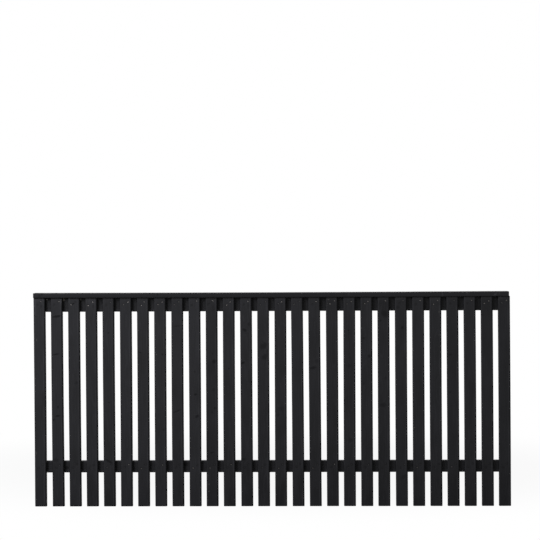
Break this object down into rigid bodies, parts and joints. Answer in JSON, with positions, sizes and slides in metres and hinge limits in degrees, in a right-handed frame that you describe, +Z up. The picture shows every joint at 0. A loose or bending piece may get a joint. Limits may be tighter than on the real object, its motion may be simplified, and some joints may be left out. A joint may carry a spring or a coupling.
{
  "type": "slatted wooden fence panel",
  "caption": "Low black-stained wooden fence panel: evenly spaced upright slats nailed to the front of two horizontal rails, closed by a flat cap rail along the top.",
  "frame": {"origin": "middle of the top rail's flat back face, half way along the panel", "axes": "+X along the panel, -Y to the slatted front, +Y to the back with the rails, +Z up"},
  "size_m": [1.8, 0.054, 0.81],
  "materials": {
    "black_stained_wood": "satin",
    "galvanised_nail": "satin"
  },
  "bodies": {
    "root": {"slat_01": "black_stained_wood", "slat_02": "black_stained_wood", "slat_03": "black_stained_wood", "slat_04": "black_stained_wood", "slat_05": "black_stained_wood", "slat_06": "black_stained_wood", "slat_07": "black_stained_wood", "slat_08": "black_stained_wood", "slat_09": "black_stained_wood", "slat_10": "black_stained_wood", "slat_11": "black_stained_wood", "slat_12": "black_stained_wood", "slat_13": "black_stained_wood", "slat_14": "black_stained_wood", "slat_15": "black_stained_wood", "slat_16": "black_stained_wood", "slat_17": "black_stained_wood", "slat_18": "black_stained_wood", "slat_19": "black_stained_wood", "slat_20": "black_stained_wood", "slat_21": "black_stained_wood", "slat_22": "black_stained_wood", "slat_23": "black_stained_wood", "slat_24": "black_stained_wood", "slat_25": "black_stained_wood", "slat_26": "black_stained_wood", "slat_27": "black_stained_wood", "slat_28": "black_stained_wood", "top_rail": "black_stained_wood", "lower_rail": "black_stained_wood", "cap_rail": "black_stained_wood"}
  },
  "joints": []
}
